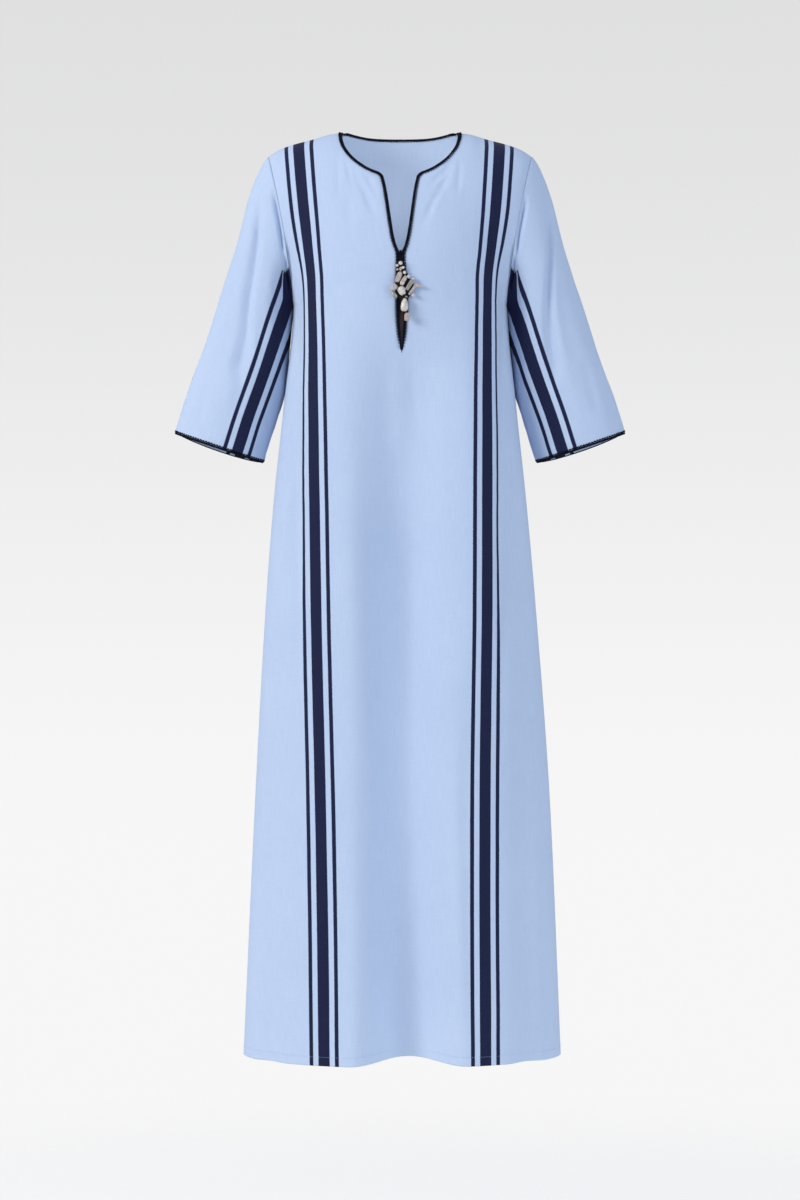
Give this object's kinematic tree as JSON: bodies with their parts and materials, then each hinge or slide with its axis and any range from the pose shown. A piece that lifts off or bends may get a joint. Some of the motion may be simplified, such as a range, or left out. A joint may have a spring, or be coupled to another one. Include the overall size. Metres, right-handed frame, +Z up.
{
  "type": "kaftan dress",
  "caption": "Long hollow kaftan dress with a slit round neck, three-quarter sleeves, braid-bound edges, woven stripes and a bead ornament at the slit.",
  "frame": {"origin": "the middle of the shoulder line, where the wearer's shoulders hold the dress up", "axes": "+X to the dress's left-hand side as seen by a viewer in front (viewer's right), +Y to the back, +Z up; the front faces -Y"},
  "size_m": [0.6748, 0.2614, 1.3824],
  "materials": {
    "cloth": "plain light blue cotton crepe with woven navy stripes, soft matt",
    "braid": "black narrow braid with a scalloped edge",
    "underlay": "dark brown close-woven patch cloth, matt",
    "beads": "polished shell and pearl grey stone",
    "gold": "dull gold bead"
  },
  "bodies": {
    "root": {"front_panel": "cloth", "back_panel": "cloth", "sleeve_left": "cloth", "sleeve_right": "cloth", "neck_braid": "braid", "cuff_braid_left": "braid", "cuff_braid_right": "braid", "slit_tack": "braid", "slit_underlay": "underlay", "ornament_backing": "underlay", "bead_top": "beads", "bead_top_left": "beads", "bead_top_right": "beads", "bead_second_left": "beads", "bead_gold": "gold", "bead_chain_upper": "beads", "bead_chain_middle": "beads", "stone_left": "beads", "stone_centre": "beads", "bar_long": "beads", "bar_thin": "beads", "pearl_left": "beads", "stone_round": "beads", "leaf_left": "beads", "spike_right": "beads", "bead_lower_right": "beads", "bead_small_low": "beads", "drop_pearl": "beads", "drop_disc": "beads"}
  },
  "joints": []
}
